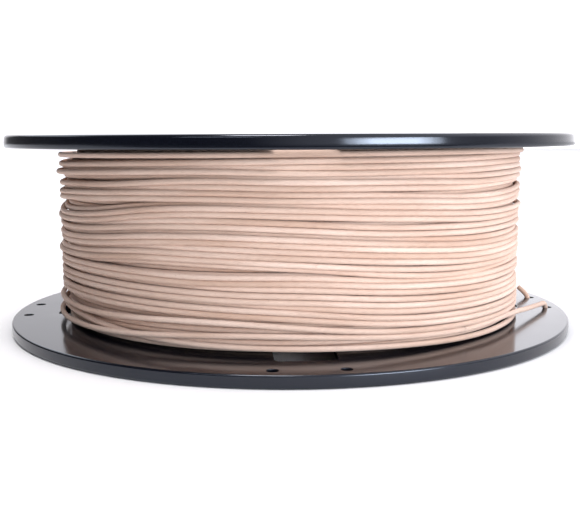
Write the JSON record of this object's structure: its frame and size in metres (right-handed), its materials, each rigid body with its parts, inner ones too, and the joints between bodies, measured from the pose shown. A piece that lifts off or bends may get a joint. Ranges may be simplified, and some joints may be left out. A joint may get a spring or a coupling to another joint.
{
  "type": "filament spool",
  "caption": "Flanged plastic spool wound full of wood-filled printer filament, with the loose end threaded through a pair of rim holes.",
  "frame": {"origin": "centre of the lower flange's outer face, on the surface that the spool stands on", "axes": "+Z along the spool's axis, from the lower flange to the upper one; +X towards the pair of rim holes that holds the loose end"},
  "size_m": [0.2, 0.2, 0.068],
  "materials": {
    "flange_plastic": "polished black moulded plastic",
    "hub_plastic": "plain black moulded plastic",
    "wood_filament": "matt, slightly fibrous extruded strand"
  },
  "bodies": {
    "root": {"lower_flange": "flange_plastic", "upper_flange": "flange_plastic", "core_barrel": "hub_plastic", "hub_sleeve": "hub_plastic", "filament_winding": "wood_filament", "filament_outer_turns": "wood_filament", "filament_inner_end": "wood_filament", "filament_tail": "wood_filament"}
  },
  "joints": []
}
